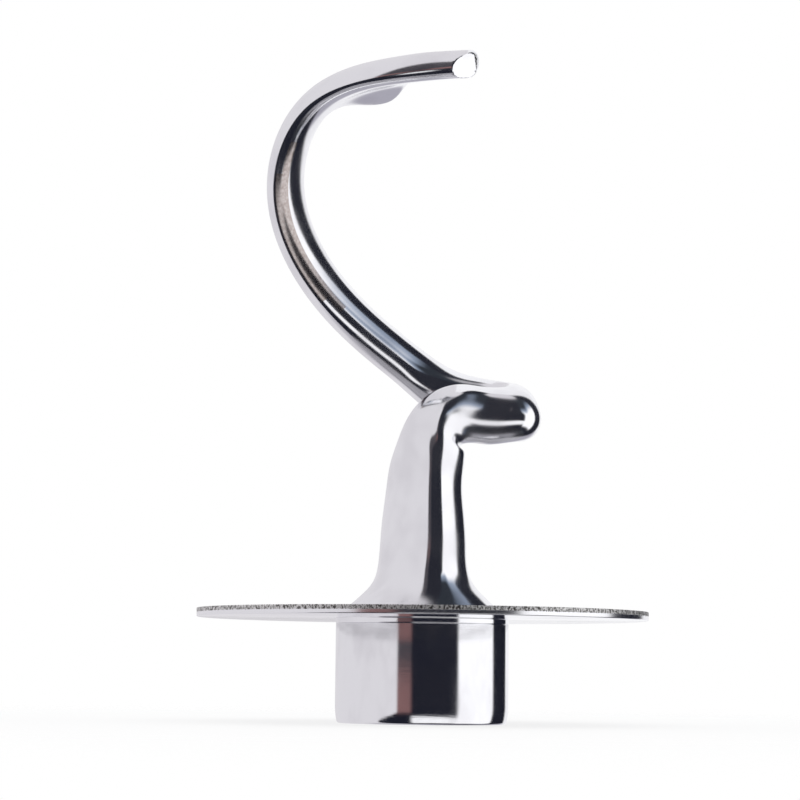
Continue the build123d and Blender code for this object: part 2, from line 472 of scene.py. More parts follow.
class Nodes:
    """The node tree of one material or world."""

    def __init__(self, owner):
        owner.use_nodes = True
        self.tree = owner.node_tree
        self.tree.nodes.clear()

    def add(self, kind, settings=None, inputs=None, output=0):
        """Adds a node, sets it up, and returns one of its outputs."""
        node = self.tree.nodes.new(kind)
        for name, value in (settings or {}).items():
            setattr(node, name, value)
        for name, value in (inputs or {}).items():
            if isinstance(value, Socket):
                self.tree.links.new(value.output, node.inputs[name])
            else:
                node.inputs[name].default_value = value
        return Socket(self, node.outputs[output]) if node.outputs else None

    def maths(self, operation, *values):
        """A Math node, for what no operator stands for."""
        return self.add("ShaderNodeMath", {"operation": operation}, dict(enumerate(values)))

    def fade(self, value, start, end):
        """0 below start and 1 above end, easing between them. It falls where start is the larger."""
        if start > end:
            return 1 - self.fade(value, end, start)
        return self.add(
            "ShaderNodeMapRange",
            {"interpolation_type": "SMOOTHSTEP"},
            {"Value": value, "From Min": start, "From Max": end},
        )

    def mix(self, factor, first, second):
        """A colour between two colours."""
        return self.add(
            "ShaderNodeMix",
            {"data_type": "RGBA"},
            {0: factor, 6: self.as_colour(first), 7: self.as_colour(second)},
            output=2,
        )

    def as_colour(self, value):
        """A colour as a socket takes it: a link, or four numbers."""
        return value if isinstance(value, Socket) else (*value, 1)

    def parts(self, vector):
        """The three numbers of a vector."""
        first = self.add("ShaderNodeSeparateXYZ", {}, {"Vector": vector})
        return [Socket(self, output) for output in first.output.node.outputs]

    def distance(self, place, point=(0, 0, 0)):
        """How far a place is from a point."""
        way = self.add("ShaderNodeVectorMath", {"operation": "SUBTRACT"}, {0: place, 1: point})
        return self.add("ShaderNodeVectorMath", {"operation": "LENGTH"}, {0: way}, output=1)

    def place(self):
        """The place in the piece's own space."""
        return self.add("ShaderNodeTexCoord", output="Object")

    def stretched_noise(self, stretch, scale, detail=3.0, roughness=0.5):
        """Noise in the piece's own space, stretched along its axes."""
        place = self.add("ShaderNodeMapping", {}, {"Vector": self.place(), "Scale": stretch})
        return self.add(
            "ShaderNodeTexNoise",
            {},
            {"Vector": place, "Scale": scale, "Detail": detail, "Roughness": roughness},
        )

    def bump(self, height, distance, strength=1.0):
        """A Normal that follows a height."""
        return self.add("ShaderNodeBump", {}, {"Height": height, "Distance": distance, "Strength": strength})


def new_material(name):
    """A material and its empty node tree."""
    material = bpy.data.materials.new(name)
    return material, Nodes(material)


def finish_material(nodes, surface):
    """Joins the surface to the material's output."""
    nodes.add("ShaderNodeOutputMaterial", {}, {"Surface": surface})


def polished_steel(colours, bar):
    """Hand-polished steel: nearly a mirror, with waves, cloudy patches, fine grain and one small dent."""
    material, nodes = new_material("Polished Steel")
    clouds = nodes.stretched_noise((1, 1, 1), 90, 2)
    fine = nodes.stretched_noise((1, 1, 1), 2200, 4, 0.6)
    waves = nodes.stretched_noise((1, 1, 0.6), 55, 1)
    cloudy = nodes.fade(clouds, 0.42, 0.68)
    dent = nodes.fade(nodes.distance(nodes.place(), tuple(bar.dent)), bar.dent_radius, bar.dent_floor)
    surface = nodes.add(
        "ShaderNodeBsdfPrincipled",
        {},
        {
            "Base Color": nodes.mix(cloudy, tuple(colours.steel), tuple(colours.steel_dull)),
            "Metallic": 1.0,
            "Roughness": 0.10 + 0.06 * cloudy + 0.05 * fine,
            "Normal": nodes.bump(waves * 0.8 + fine * 0.02 - dent * 1.2, 0.00035, 0.35),
        },
    )
    finish_material(nodes, surface)
    return material


def turned_steel(colours):
    """The hub's finish: polished in the lathe, with faint level lines."""
    material, nodes = new_material("Turned Steel")
    lines = nodes.stretched_noise((0.04, 0.04, 1), 6000, 2, 0.6)
    clouds = nodes.stretched_noise((1, 1, 0.5), 160, 3)
    cloudy = nodes.fade(clouds, 0.4, 0.7)
    surface = nodes.add(
        "ShaderNodeBsdfPrincipled",
        {},
        {
            "Base Color": nodes.mix(cloudy, tuple(colours.steel), tuple(colours.steel_dull)),
            "Metallic": 1.0,
            "Roughness": 0.07 + 0.05 * cloudy + 0.03 * lines,
            "Normal": nodes.bump(lines, 0.000012, 0.5),
        },
    )
    finish_material(nodes, surface)
    return material


def ground_steel_with_painted_reflection(colours):
    """The flat left where the parting line was ground off: duller, with lines along the bar, and tinted brown
    as a painted reflection.
    """
    material, nodes = new_material("Ground Steel With Painted Reflection")
    specks = nodes.stretched_noise((1, 1, 1), 1400, 4, 0.7)
    lines = nodes.stretched_noise((1, 1, 0.08), 1800, 2, 0.6)
    pale = nodes.fade(specks, 0.3, 0.7)
    surface = nodes.add(
        "ShaderNodeBsdfPrincipled",
        {},
        {
            # Brown tint: painted reflection on the ground strip; the specks are a random tone
            "Base Color": nodes.mix(pale, tuple(colours.ground_specks_and_brown_reflection), tuple(colours.ground)),
            "Metallic": 1.0,
            "Roughness": 0.16 + 0.12 * lines,
            "Normal": nodes.bump(specks * 0.3 + lines, 0.00002, 0.35),
        },
    )
    finish_material(nodes, surface)
    return material


def disc_steel(colours):
    """The disc's faces: mirror sheet with hair-fine scratches."""
    material, nodes = new_material("Disc Steel")
    clouds = nodes.stretched_noise((1, 1, 1), 60, 2)
    hairs = nodes.stretched_noise((1, 0.05, 1), 3000, 2, 0.6)
    cloudy = nodes.fade(clouds, 0.42, 0.68)
    surface = nodes.add(
        "ShaderNodeBsdfPrincipled",
        {},
        {
            "Base Color": nodes.mix(cloudy, tuple(colours.steel), tuple(colours.steel_dull)),
            "Metallic": 1.0,
            "Roughness": 0.06 + 0.05 * cloudy + 0.03 * hairs,
            "Normal": nodes.bump(hairs, 0.000006, 0.4),
        },
    )
    finish_material(nodes, surface)
    return material


def shaded_satin_steel(colours):
    """The disc's upper face: satin sheet, with fine lines round the neck. Its colour is darkened as painted
    shade.
    """
    material, nodes = new_material("Shaded Satin Steel")
    clouds = nodes.stretched_noise((1, 1, 1), 45, 3)
    grain = nodes.stretched_noise((1, 0.06, 1), 2600, 3, 0.6)
    cloudy = nodes.fade(clouds, 0.35, 0.7)
    surface = nodes.add(
        "ShaderNodeBsdfPrincipled",
        {},
        {
            # Darkened colour: painted shade on the disc's upper face
            "Base Color": nodes.mix(cloudy, tuple(colours.shaded_satin), tuple(colours.shaded_satin_clouds)),
            "Metallic": 1.0,
            "Roughness": 0.17 + 0.08 * grain,
            "Normal": nodes.bump(grain, 0.00001, 0.4),
        },
    )
    finish_material(nodes, surface)
    return material


def rim_steel(colours, disc, hub):
    """The disc's sheared rim: burnished below, torn and pitted above, where the pitting is darkened as
    painted shade.
    """
    material, nodes = new_material("Sheared Rim")
    height = nodes.parts(nodes.place())[2]
    underside = hub.length + disc.collar_drop
    share = (height - underside) / disc.thickness
    tears = nodes.stretched_noise((1, 1, 0.6), 2600, 4, 0.75)
    ragged = share + (tears - 0.5) * 0.35
    torn = nodes.fade(ragged, 0.95 - disc.sheared_share, 1.0 - disc.sheared_share)
    # Dark specks in the torn band: painted shade in its pitting
    pit_shade = nodes.fade(tears, 0.47, 0.56) * torn
    base = nodes.mix(torn, tuple(colours.steel), tuple(colours.torn))
    surface = nodes.add(
        "ShaderNodeBsdfPrincipled",
        {},
        {
            "Base Color": nodes.mix(pit_shade, base, tuple(colours.torn_pit_shade)),
            "Metallic": 1.0,
            "Roughness": 0.18 + 0.3 * torn,
            "Normal": nodes.bump(tears * torn, 0.00012, 0.7),
        },
    )
    finish_material(nodes, surface)
    return material


# Modelling helpers

# One section of the bar: its centre, the way to its inner side, half its thickness, its depth to the near
# and the far edge, its turn, how full its corners are, how far its far edge droops and its near edge leans
# over, how full its flank and its underside's corner are, and how far its outer half is drawn out
Ring = namedtuple(
    "Ring",
    "centre inward thick near far turn fullness droop lean flank under stretch",
    defaults=(0, 1, 1, 1),
)


def nothing_selected():
    """Leaves edit mode and deselects everything."""
    if bpy.context.object and bpy.context.object.mode != "OBJECT":
        bpy.ops.object.mode_set(mode="OBJECT")
    bpy.ops.object.select_all(action="DESELECT")


def only(obj):
    """Makes obj the active object and the only selected one."""
    nothing_selected()
    obj.select_set(True)
    bpy.context.view_layer.objects.active = obj


def select_points(obj, wanted):
    """In edit mode, selects the vertices whose index and place pass the test."""
    bpy.ops.mesh.select_mode(type="VERT")
    bpy.ops.mesh.select_all(action="DESELECT")
    mesh = bmesh.from_edit_mesh(obj.data)
    for vertex in mesh.verts:
        vertex.select = wanted(vertex.index, vertex.co)
    mesh.select_flush_mode()
    bmesh.update_edit_mesh(obj.data)


def apply_modifier(obj, kind, **settings):
    """Adds a modifier to obj, sets it up and applies it."""
    only(obj)
    modifier = obj.modifiers.new(kind.title(), kind)
    for name, value in settings.items():
        setattr(modifier, name, value)
    bpy.ops.object.modifier_apply(modifier=modifier.name)


def through(points):
    """The bends that make one smooth line through points, as a function of the distance along it."""
    points = np.array(points, float)
    steps = np.linalg.norm(np.diff(points[:, :3], axis=0), axis=1)
    marks = np.concatenate([[0], np.cumsum(steps)])
    grid = np.eye(len(points))
    sides = np.zeros_like(points)
    for i in range(1, len(points) - 1):
        grid[i, i - 1:i + 2] = steps[i - 1], 2 * (steps[i - 1] + steps[i]), steps[i]
        rise = (points[i + 1] - points[i]) / steps[i]
        sides[i] = 6 * (rise - (points[i] - points[i - 1]) / steps[i - 1])
    bends = np.linalg.solve(grid, sides)

    def at(distance):
        i = int(min(max(np.searchsorted(marks, distance) - 1, 0), len(steps) - 1))
        after = (distance - marks[i]) / steps[i]
        before = 1 - after
        curved = (before ** 3 - before) * bends[i] + (after ** 3 - after) * bends[i + 1]
        return before * points[i] + after * points[i + 1] + curved * steps[i] ** 2 / 6

    return at, marks[-1]


def between(start, end, share):
    """A size part of the way from start to end, easing out of one and into the other."""
    share = min(1, max(0, share))
    return start + (end - start) * share * share * (3 - 2 * share)


def ring_axes(ring, forward):
    """The ring's own axes: towards its inward side, along its depth, and forward."""
    inward = Vector(ring.inward)
    across = (inward - forward * inward.dot(forward)).normalized()
    along = forward.cross(across)
    across, along = (
        across * cos(ring.turn) + along * sin(ring.turn),
        along * cos(ring.turn) - across * sin(ring.turn),
    )
    return across, along


def stretch_along(axes, size, centre):
    """Resizes what is selected along three axes, about centre."""
    bpy.ops.transform.resize(
        value=size,
        orient_type="GLOBAL",
        orient_matrix=axes.transposed(),
        orient_matrix_type="GLOBAL",
        center_override=centre,
    )


def add_ring(obj, ring, forward):
    """Adds a ring's points to obj in edit mode: an oval, then what makes the ring differ from one."""
    across, along = ring_axes(ring, forward)
    half_depth = (ring.near + ring.far) / 2
    centre = Vector(ring.centre) + along * (ring.far - ring.near) / 2
    axes = Matrix((across, along, forward))
    bpy.ops.mesh.select_all(action="DESELECT")
    bpy.ops.mesh.primitive_circle_add(
        vertices=RING_POINTS, radius=1, location=centre, rotation=axes.transposed().to_euler()
    )
    stretch_along(axes, (ring.thick * RING_SWELL, half_depth * RING_SWELL, 1), centre)
    obj.update_from_editmode()
    start = len(obj.data.vertices) - RING_POINTS
    fuller = ((CORNER_POINTS, ring.fullness), (FLANK_POINTS, ring.flank), (UNDER_POINTS, ring.under))
    for points, share in fuller:
        if share != 1:
            select_points(obj, lambda index, place: index - start in points)
            bpy.ops.transform.resize(value=(share,) * 3, center_override=centre)
    if ring.lean:
        select_points(obj, lambda index, place: index - start in RIDGE_POINTS)
        bpy.ops.transform.translate(value=across * ring.lean)
    if ring.stretch != 1:
        level, outward = ring_axes(ring._replace(turn=0), forward)
        select_points(obj, lambda index, place: index >= start and (place - centre).dot(outward) > 0)
        stretch_along(Matrix((level, outward, forward)), (1, ring.stretch, 1), centre)
    if ring.droop > 0:
        droop_far_edge(obj, ring, start, across)


def droop_far_edge(obj, ring, start, across):
    """Lets a ring's far half hang inwards, the more the further out it is."""
    middle, half_depth = (ring.far - ring.near) / 2, (ring.near + ring.far) / 2
    for point in range(RING_POINTS // 4):
        depth = middle + half_depth * RING_SWELL * cos(2 * pi * point / RING_POINTS)
        pair = (point, -point % RING_POINTS)
        select_points(obj, lambda index, place: index - start in pair)
        bpy.ops.transform.translate(value=across * ring.droop * min(1, max(0, depth / ring.far)) ** 2)


def bridge_rings(obj, count):
    """Joins each ring to the next one with a band of faces."""
    for index in range(count - 1):
        low, high = index * RING_POINTS, (index + 2) * RING_POINTS
        select_points(obj, lambda i, place: low <= i < high)
        bpy.ops.mesh.bridge_edge_loops()


def crease_line(obj, point, creases):
    """Sharpens the lengthways edges at one point of the rings, by one value for each ring."""
    bpy.ops.mesh.select_mode(type="VERT")
    for index, crease in enumerate(creases):
        pair = {index * RING_POINTS + point, (index + 1) * RING_POINTS + point}
        if crease > 0:
            select_points(obj, lambda i, place: i in pair)
            bpy.ops.transform.edge_crease(value=crease)


def close_end(obj, index):
    """Fills one end ring with a grid, so that it stays round when subdivided."""
    low, high = index * RING_POINTS, (index + 1) * RING_POINTS
    select_points(obj, lambda i, place: low <= i < high)
    bpy.ops.mesh.fill_grid(span=RING_POINTS // 4)


def new_mesh(name):
    """An empty mesh object in edit mode."""
    nothing_selected()
    bpy.ops.mesh.primitive_plane_add()
    obj = bpy.context.object
    obj.name = obj.data.name = name
    bpy.ops.object.mode_set(mode="EDIT")
    bpy.ops.mesh.delete(type="VERT")
    return obj


def draw_chain(points):
    """Draws a line through (radius, height) points in edit mode."""
    last = Vector((points[0][0], 0, points[0][1]))
    bpy.ops.mesh.primitive_circle_add(vertices=3, radius=MM, location=last)
    bpy.ops.mesh.merge(type="CENTER")
    for radius, height in points[1:]:
        place = Vector((radius, 0, height))
        bpy.ops.mesh.extrude_region_move(TRANSFORM_OT_translate={"value": place - last})
        last = place
    bpy.ops.mesh.select_all(action="SELECT")
    bpy.ops.mesh.remove_doubles(threshold=MERGE_DISTANCE)


def spin_all(steps, angle):
    """Spins what is drawn round Z into a closed solid, and leaves edit mode."""
    bpy.ops.mesh.spin(steps=steps, angle=angle, center=(0, 0, 0), axis=(0, 0, 1))
    bpy.ops.mesh.select_all(action="SELECT")
    bpy.ops.mesh.remove_doubles(threshold=MERGE_DISTANCE)
    bpy.ops.mesh.normals_make_consistent(inside=False)
    bpy.ops.object.mode_set(mode="OBJECT")


def turned(name, profile, steps):
    """A solid of revolution round Z, from a chain of (radius, height) points."""
    obj = new_mesh(name)
    draw_chain(profile)
    spin_all(steps, 2 * pi)
    return obj


def arc_points(centre, radius, start, end, count):
    """Points of an arc in a profile, from one angle to another, in degrees."""
    angles = [radians(start + (end - start) * step / count) for step in range(count + 1)]
    return [(centre[0] + radius * cos(angle), centre[1] + radius * sin(angle)) for angle in angles]


def give_materials(obj, main, picks):
    """Gives obj its main material, and others to the faces that pass their tests."""
    obj.data.materials.clear()
    obj.data.materials.append(main)
    for index, (material, wanted) in enumerate(picks, start=1):
        obj.data.materials.append(material)
        for face in obj.data.polygons:
            if wanted(face):
                face.material_index = index


# The bar's rings

def foot_rings(bar):
    """The foot, from the disc up to where it has become the neck."""
    offset = -0.1
    lean_start, lean_rise = 25.5, 6
    rows = [
        # height, narrow half, wide half, in millimetres
        (23.2, 16.6, 16.6),
        (23.7, 16.35, 16.35),
        (24.4, 15.6, 15.9),
        (25.5, 14.2, 15.2),
        (26.8, 12.6, 14.4),
        (28.1, 11.1, 13.6),
        (29.4, 10.0, 12.9),
        (30.7, 9.3, 12.4),
        (32.2, 8.8, 12.2),
        (34.5, 8.4, 12.2),
    ]
    return [
        Ring(
            (offset * MM, 0, height * MM), (-1, 0, 0), narrow * MM, wide * MM, wide * MM, bar.neck_turn, 1, 0,
            between(0, bar.ridge_lean, (height - lean_start) / lean_rise),
        )
        for height, narrow, wide in rows
    ]


def neck_rings(bar):
    """The neck, from the foot to where it starts to lean into the elbow."""
    wide, deep = bar.neck_half_width, bar.neck_half_depth
    rows = [
        # centre, side, wider by, near deeper by, far deeper by, turn, in millimetres and degrees
        ((0, 0, 38.0), (-1, 0, 0), 0.8, 0.2, 0.2, 0),
        ((0, 0, 42.0), (-1, 0, 0), 0.55, -0.1, -0.1, 0),
        ((0.05, 0, 50.0), (-1, 0, 0), -0.2, -1.4, -0.9, 0),
        ((0.65, 0, 56.0), (-1, 0, 0.05), -0.3, -2.8, -1.3, -2),
    ]
    return [
        Ring(
            Vector(centre) * MM, side, wide + wider * MM, deep + near * MM, deep + far * MM,
            bar.neck_turn + radians(turn), 1, 0, bar.ridge_lean,
        )
        for centre, side, wider, near, far, turn in rows
    ]


def elbow_rings(bar):
    """The elbow, from the top of the neck, out to its nose and back round to the hook's root."""
    high, deep = bar.elbow_half_height, bar.elbow_half_depth
    rows = [
        # centre, side, higher by, near deeper by, far deeper by, turn, flank, underside's corner, stretch,
        # in millimetres and degrees
        ((2.5, -0.2, 62.0), (-0.82, 0, 0.57), 0.7, -1.2, 4.6, 5, 0.9, 1, 1),
        ((6.4, -0.3, 64.4), (-0.47, 0, 0.88), 0.25, -1.1, 3.3, -20, 0.92, 1, 1),
        ((10.6, -0.3, 64.9), (0, 0, 1), 0.25, -0.9, 1.0, -42, 0.97, 1.01, 1.0),
        ((14.6, 0.0, 65.0), (0, 0, 1), 0.25, -0.4, 0, -42, 1, 1.02, 1.05),
        ((17.6, 1.6, 65.2), (0, 0, 1), 0.2, -1.8, 0, -36, 1, 1.02, 1.52),
        ((18.8, 3.8, 65.9), (0, 0, 1), 0, -0.8, 0, -26, 1, 1, 1.0),
        ((19.0, 6.4, 66.4), (0, 0, 1), 0, -0.8, 0, -20, 1, 1, 0.97),
        ((17.2, 10.6, 67.3), (0.05, 0, 1), 0, -1.5, 0, -15, 1, 1, 1),
        ((11.1, 13.0, 68.6), (0.15, 0, 1), 0, 0, 0, -10, 1, 1, 1),
    ]
    return [
        Ring(
            Vector(centre) * MM, side, high + higher * MM, deep + near * MM, deep + far * MM, radians(turn),
            1, 0, 0, flank, under, stretch,
        )
        for centre, side, higher, near, far, turn, flank, under, stretch in rows
    ]


def hook_rings(bar):
    """The hook's rings, from its root to its tip."""
    top = bar.height - bar.tip_half_thickness - bar.crest_drop
    route, length = through([
        (-3.5 * MM, 12.0 * MM, 77.1 * MM),
        (-19.3 * MM, 7.0 * MM, 90.6 * MM),
        (-(bar.hook_reach - bar.half_thickness), 0, 114.0 * MM),
        (-22.9 * MM, -9.8 * MM, 131.1 * MM),
        (-9.4 * MM, -16.6 * MM, top - 0.8 * MM),
        (bar.tip_reach, -bar.tip_forward, top - 0.1 * MM),
    ])
    inside = Vector((-4, -4, 110)) * MM
    sections = 20
    halfway = 0.5
    rings = []
    for step in range(sections + 1):
        place = step / sections
        centre = Vector(route(place * length))
        rise = between(0, 1, (place - bar.lobe_start) / bar.lobe_rise)
        lobe = rise * between(1, 0, (place - bar.lobe_end) / bar.lobe_fall)
        to_tip = (place - (1 - bar.tip_taper)) / bar.tip_taper
        thick = between(bar.root_half_thickness, bar.half_thickness, place / halfway)
        if place > halfway:
            thick = between(bar.half_thickness, bar.tip_half_thickness, (place - halfway) / (1 - halfway))
        deep = between(bar.root_half_depth, bar.half_depth, place / halfway)
        deep = between(deep, bar.tip_half_depth, to_tip)
        turn = -bar.hook_turn * between(1, 0, to_tip)
        far = deep + bar.lobe_reach * lobe
        droop = bar.lobe_droop * lobe
        rings.append(Ring(centre, inside - centre, thick, deep, far, turn, bar.hook_fullness, droop))
    return rings


def as_row(ring):
    """A ring as a row of numbers."""
    inward = Vector(ring.inward).normalized()
    return [*ring.centre, *inward, *ring[2:]]


def from_row(row):
    """The ring that a row of numbers stands for."""
    return Ring(Vector(row[0:3]), Vector(row[3:6]), *row[6:])


def even_rings(rings, gap):
    """The same bar in rings a set gap apart, with the way that the bar runs at each."""
    look = 0.5 * MM
    at, length = through([as_row(ring) for ring in rings])
    count = round(length / gap)
    spaced = []
    for step in range(count + 1):
        distance = length * step / count
        ahead = Vector(at(min(length, distance + look))[:3])
        behind = Vector(at(max(0, distance - look))[:3])
        spaced.append((from_row(at(distance)), (ahead - behind).normalized()))
    return spaced


def tip_rings(end, forward, radius):
    """Rings that round the blunt tip's edge by a quarter circle."""
    rings = []
    for degree in (20, 42, 64, 82):
        inset = radius * (1 - cos(radians(degree)))
        centre = Vector(end.centre) + forward * radius * sin(radians(degree))
        sizes = {name: getattr(end, name) - inset for name in ("thick", "near", "far")}
        rings.append((end._replace(centre=centre, **sizes), forward))
    return rings


def bar_mesh(bar, materials):
    """The neck, elbow and hook, bridged from rings and subdivided."""
    obj = new_mesh("Bar")
    up = Vector((0, 0, 1))
    low = [(ring, up) for ring in foot_rings(bar)]
    body = even_rings(neck_rings(bar) + elbow_rings(bar) + hook_rings(bar), bar.ring_gap)
    rings = low + body + tip_rings(body[-1][0], body[-1][1], bar.tip_edge_radius)
    for ring, forward in rings:
        add_ring(obj, ring, forward)
    bridge_rings(obj, len(rings))
    ridge_start, ridge_rise = 24 * MM, 6 * MM
    ridge_end = len(low) + round(bar.ridge_share * len(body))
    ridge = [
        bar.ridge * between(0, 1, (ring.centre[2] - ridge_start) / ridge_rise) if index < ridge_end else 0
        for index, (ring, forward) in enumerate(rings)
    ]
    crease_line(obj, RIDGE_POINT, ridge)
    close_end(obj, 0)
    close_end(obj, len(rings) - 1)
    bpy.ops.mesh.select_all(action="SELECT")
    bpy.ops.mesh.normals_make_consistent(inside=False)
    bpy.ops.object.mode_set(mode="OBJECT")
    give_materials(obj, materials[0], [(materials[1], lambda face: on_parting_line(face, rings))])
    apply_modifier(obj, "SUBSURF", levels=bar.smoothing, render_levels=bar.smoothing)
    end, forward = body[-1]
    middle = Vector(end.centre)
    cut_tip(obj, bar, middle + forward * bar.tip_edge_radius, bar.tip_cut, 0)
    corner = middle + forward * bar.tip_flat_depth + up * bar.tip_flat_height
    cut_tip(obj, bar, corner, bar.tip_flat_turn, bar.tip_flat_tilt)
    return obj


def on_parting_line(face, rings):
    """Whether a face of the unsmoothed bar is on the strip where the parting line was ground off."""
    places = {index // RING_POINTS for index in face.vertices}
    points = {index % RING_POINTS for index in face.vertices}
    if max(places) >= len(rings):
        return False
    centre = Vector(rings[min(places)][0].centre)
    if centre.x > -GROUND_REACH or not GROUND_HEIGHTS[0] < centre.z < GROUND_HEIGHTS[1]:
        return False
    wide = GROUND_WIDE_HEIGHTS[0] < centre.z < GROUND_WIDE_HEIGHTS[1]
    return points <= (GROUND_WIDE_POINTS if wide else GROUND_POINTS)


def cut_tip(obj, bar, point, turn, tilt):
    """Grinds a flat on the tip, through point, and rounds its edge."""
    tip_size = 15 * MM
    only(obj)
    bpy.ops.object.mode_set(mode="EDIT")
    select_points(obj, lambda index, place: (place - point).length < tip_size)
    facing = (sin(turn) * cos(tilt), -cos(turn) * cos(tilt), sin(tilt))
    bpy.ops.mesh.bisect(plane_co=point, plane_no=facing, use_fill=True, clear_outer=True)
    bpy.ops.mesh.bevel(offset=bar.tip_rounding, segments=2, affect="EDGES")
    bpy.ops.object.mode_set(mode="OBJECT")


def hub_profile(hub, disc):
    """The hub from its axis at the top, down the outside, and up the socket to its floor."""
    top = hub.length + disc.collar_drop + disc.thickness - hub.spigot_sink
    seam, edge = hub.seam_radius, hub.edge_radius
    foot = hub.radius - hub.roll_depth
    drop = hub.roll_height - edge
    roll_radius = (drop ** 2 + hub.roll_depth ** 2) / (2 * hub.roll_depth)
    lean = degrees(2 * atan(hub.roll_depth / drop))
    roll = arc_points((hub.radius - roll_radius, hub.roll_height), roll_radius, 0, -lean, 8)
    centre = (foot - edge * cos(radians(lean)), edge + edge * sin(radians(lean)))
    corner = arc_points(centre, edge, -lean, -90, 6)
    return [
        (0, top),
        (hub.spigot_radius, top),
        (hub.spigot_radius, hub.length),
        (hub.radius - seam, hub.length),
        *arc_points((hub.radius - seam, hub.length - seam), seam, 90, 0, 4)[1:],
        *roll,
        *corner[1:-1],
        (corner[-1][0], 0),
        (hub.socket_radius + hub.socket_lead_in, 0),
        (hub.socket_radius, hub.socket_lead_in),
        (hub.socket_radius, hub.socket_depth),
        (0, hub.socket_depth),
    ]


def keyway_cutter(hub):
    """What is cut out of the hub for the cross pin to slide in."""
    past_face = MM
    height = hub.lock_floor + hub.lock_height
    nothing_selected()
    bpy.ops.mesh.primitive_cube_add(size=1, location=(hub.slot_reach / 2, 0, (height - past_face) / 2))
    bpy.ops.transform.resize(value=(hub.slot_reach, hub.slot_width, height + past_face))
    bpy.ops.object.transform_apply(location=True, rotation=True, scale=True)
    return bpy.context.object


def pocket_cutter(hub):
    """What is cut out of the hub for the cross pin to turn into."""
    height = hub.lock_floor + hub.lock_height
    pocket = new_mesh("PinPocket")
    corners = [(0, hub.lock_floor), (hub.slot_reach, hub.lock_floor), (hub.slot_reach, height), (0, height)]
    draw_chain(corners + corners[:1])
    bpy.ops.mesh.edge_face_add()
    spin_all(POCKET_STEPS, -hub.lock_angle)
    return pocket


def disc_profile(disc, hub):
    """The disc's section: a sheet with a short collar, rolled at its lower edge and sharp at the top."""
    hole = hub.spigot_radius + disc.seat_clearance
    low = hub.length + disc.collar_drop
    top = low + disc.thickness
    roll, seam = disc.rolled_edge, hub.seam_radius
    return [
        (hole, hub.length),
        (hub.radius - seam, hub.length),
        *arc_points((hub.radius - seam, hub.length + seam), seam, -90, 0, 4)[1:],
        (hub.radius, low - seam),
        *arc_points((hub.radius + seam, low - seam), seam, 180, 90, 4)[1:],
        *arc_points((disc.radius - roll, low + roll), roll, -90, 0, 5),
        (disc.radius, top - disc.edge_break),
        (disc.radius - disc.edge_break, top),
        (hole, top),
        (hole, hub.length),
    ]


# One operator for each piece

class MakeCasting(bpy.types.Operator):
    """Model the casting: hub and socket, foot, neck, elbow and hook"""
    bl_idname = "doughhook.make_casting"
    bl_label = "Casting"

    def execute(self, context):
        scene = context.scene
        hub, disc, bar = scene.doughhook_hub, scene.doughhook_disc, scene.doughhook_bar
        colours = scene.doughhook_finishes
        casting = bar_mesh(bar, (polished_steel(colours, bar), ground_steel_with_painted_reflection(colours)))
        hub_piece = turned("Hub", hub_profile(hub, disc), HUB_STEPS)
        for cutter in (keyway_cutter(hub), pocket_cutter(hub)):
            apply_modifier(hub_piece, "BOOLEAN", operation="DIFFERENCE", object=cutter, solver="EXACT")
            bpy.data.objects.remove(cutter)
        give_materials(hub_piece, turned_steel(colours), [])
        for piece in (hub_piece, casting):
            only(piece)
            bpy.ops.object.shade_smooth_by_angle(angle=SMOOTH_ANGLE)
        hub_piece.select_set(True)
        bpy.ops.object.join()
        casting.name = casting.data.name = "HookCastingSkin"
        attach(casting, "root")
        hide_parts("hook_casting")
        return {"FINISHED"}


class MakeDisc(bpy.types.Operator):
    """Model the guard disc with its sheared rim and drawn collar"""
    bl_idname = "doughhook.make_disc"
    bl_label = "Guard Disc"

    def execute(self, context):
        scene = context.scene
        disc, hub = scene.doughhook_disc, scene.doughhook_hub
        colours = scene.doughhook_finishes
        piece = turned("GuardDiscSkin", disc_profile(disc, hub), DISC_STEPS)
        only(piece)
        bpy.ops.object.shade_smooth_by_angle(angle=SMOOTH_ANGLE)
        rim_start = disc.radius - disc.rolled_edge / 2
        # The upper face's material is darkened as painted shade
        shaded_upper_face = shaded_satin_steel(colours), lambda face: face.normal.z > 0.9
        rim = rim_steel(colours, disc, hub), lambda face: face.center.xy.length > rim_start
        give_materials(piece, disc_steel(colours), [shaded_upper_face, rim])
        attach(piece, "root")
        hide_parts("guard_disc")
        return {"FINISHED"}


